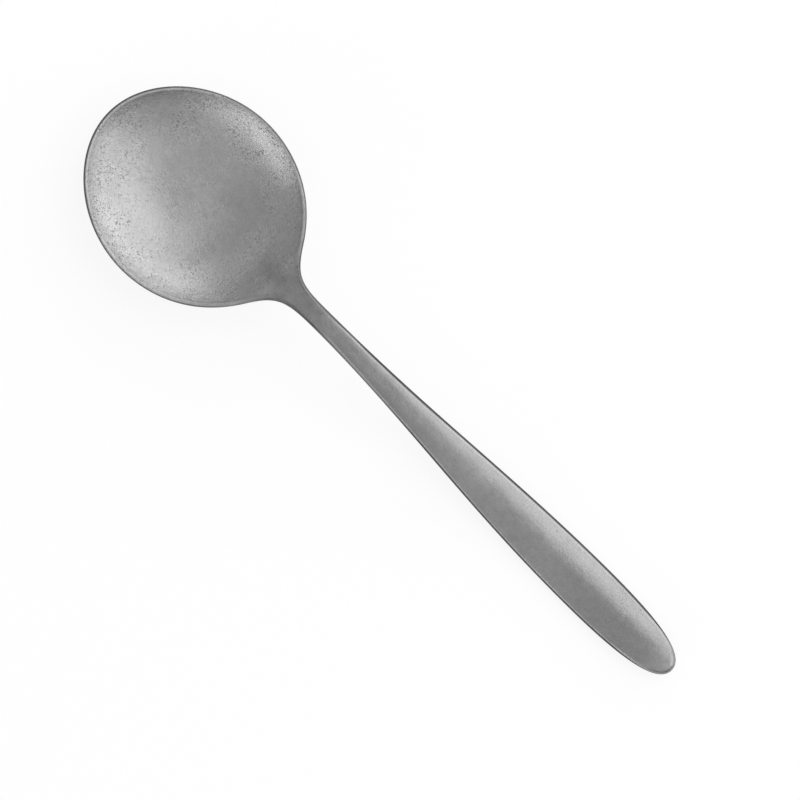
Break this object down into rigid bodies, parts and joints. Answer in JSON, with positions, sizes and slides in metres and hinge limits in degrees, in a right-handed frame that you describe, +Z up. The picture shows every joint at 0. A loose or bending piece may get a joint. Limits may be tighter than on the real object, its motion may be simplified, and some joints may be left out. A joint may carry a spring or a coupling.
{
  "type": "soup spoon",
  "caption": "Soup spoon with a round, shallow bowl and a slim handle that widens to a rounded teardrop end, in tumbled stainless steel.",
  "frame": {"origin": "on the table that the spoon lies on, under the middle of its length and width", "axes": "+X along the spoon from the bowl to the end of the handle, +Y across it, +Z up out of the bowl"},
  "size_m": [0.175, 0.0458, 0.0167],
  "materials": {
    "tumbled_steel": "tumbled matt stainless steel with fine dark pits"
  },
  "bodies": {
    "root": {"bowl": "tumbled_steel", "handle": "tumbled_steel"}
  },
  "joints": []
}
